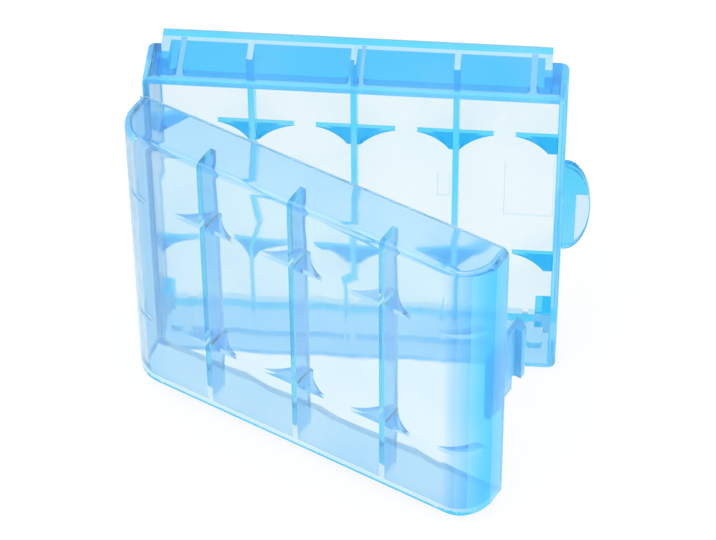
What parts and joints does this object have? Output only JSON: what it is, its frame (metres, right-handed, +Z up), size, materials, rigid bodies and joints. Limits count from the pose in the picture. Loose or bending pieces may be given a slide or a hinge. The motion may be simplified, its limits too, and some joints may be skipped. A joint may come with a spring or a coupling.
{
  "type": "battery storage box",
  "caption": "Clear blue clamshell box that stores round cells side by side in cradled bays, hinged at one end and held shut by a snap hook in a window.",
  "frame": {"origin": "centre of the flat long side that the rear half stands on, on the surface it stands on", "axes": "+X from the hinge to the latch, +Y from the open side to the closed back of the rear half, +Z up"},
  "size_m": [0.0744, 0.0497, 0.0624],
  "materials": {
    "case": "translucent, lightly glossy"
  },
  "bodies": {
    "rear": {"rear_shell": "case", "hinge_web": "case", "thumb_tab": "case"},
    "front": {"front_shell": "case"},
    "hook": {"snap_hook": "case"}
  },
  "joints": [
    {"name": "front_hinge", "type": "hinge", "parent": "rear", "child": "front", "pos_m": [-0.03402, -0.00435, 0.0312], "axis": [0, 0, -1], "range_deg": [-26.8, 153.2]},
    {"name": "hook_flex", "type": "hinge", "parent": "front", "child": "hook", "pos_m": [0.02391, -0.03692, 0.02945], "axis": [0, 0, 1], "range_deg": [0, 10], "stiffness_Nm_per_rad": 0.3}
  ]
}
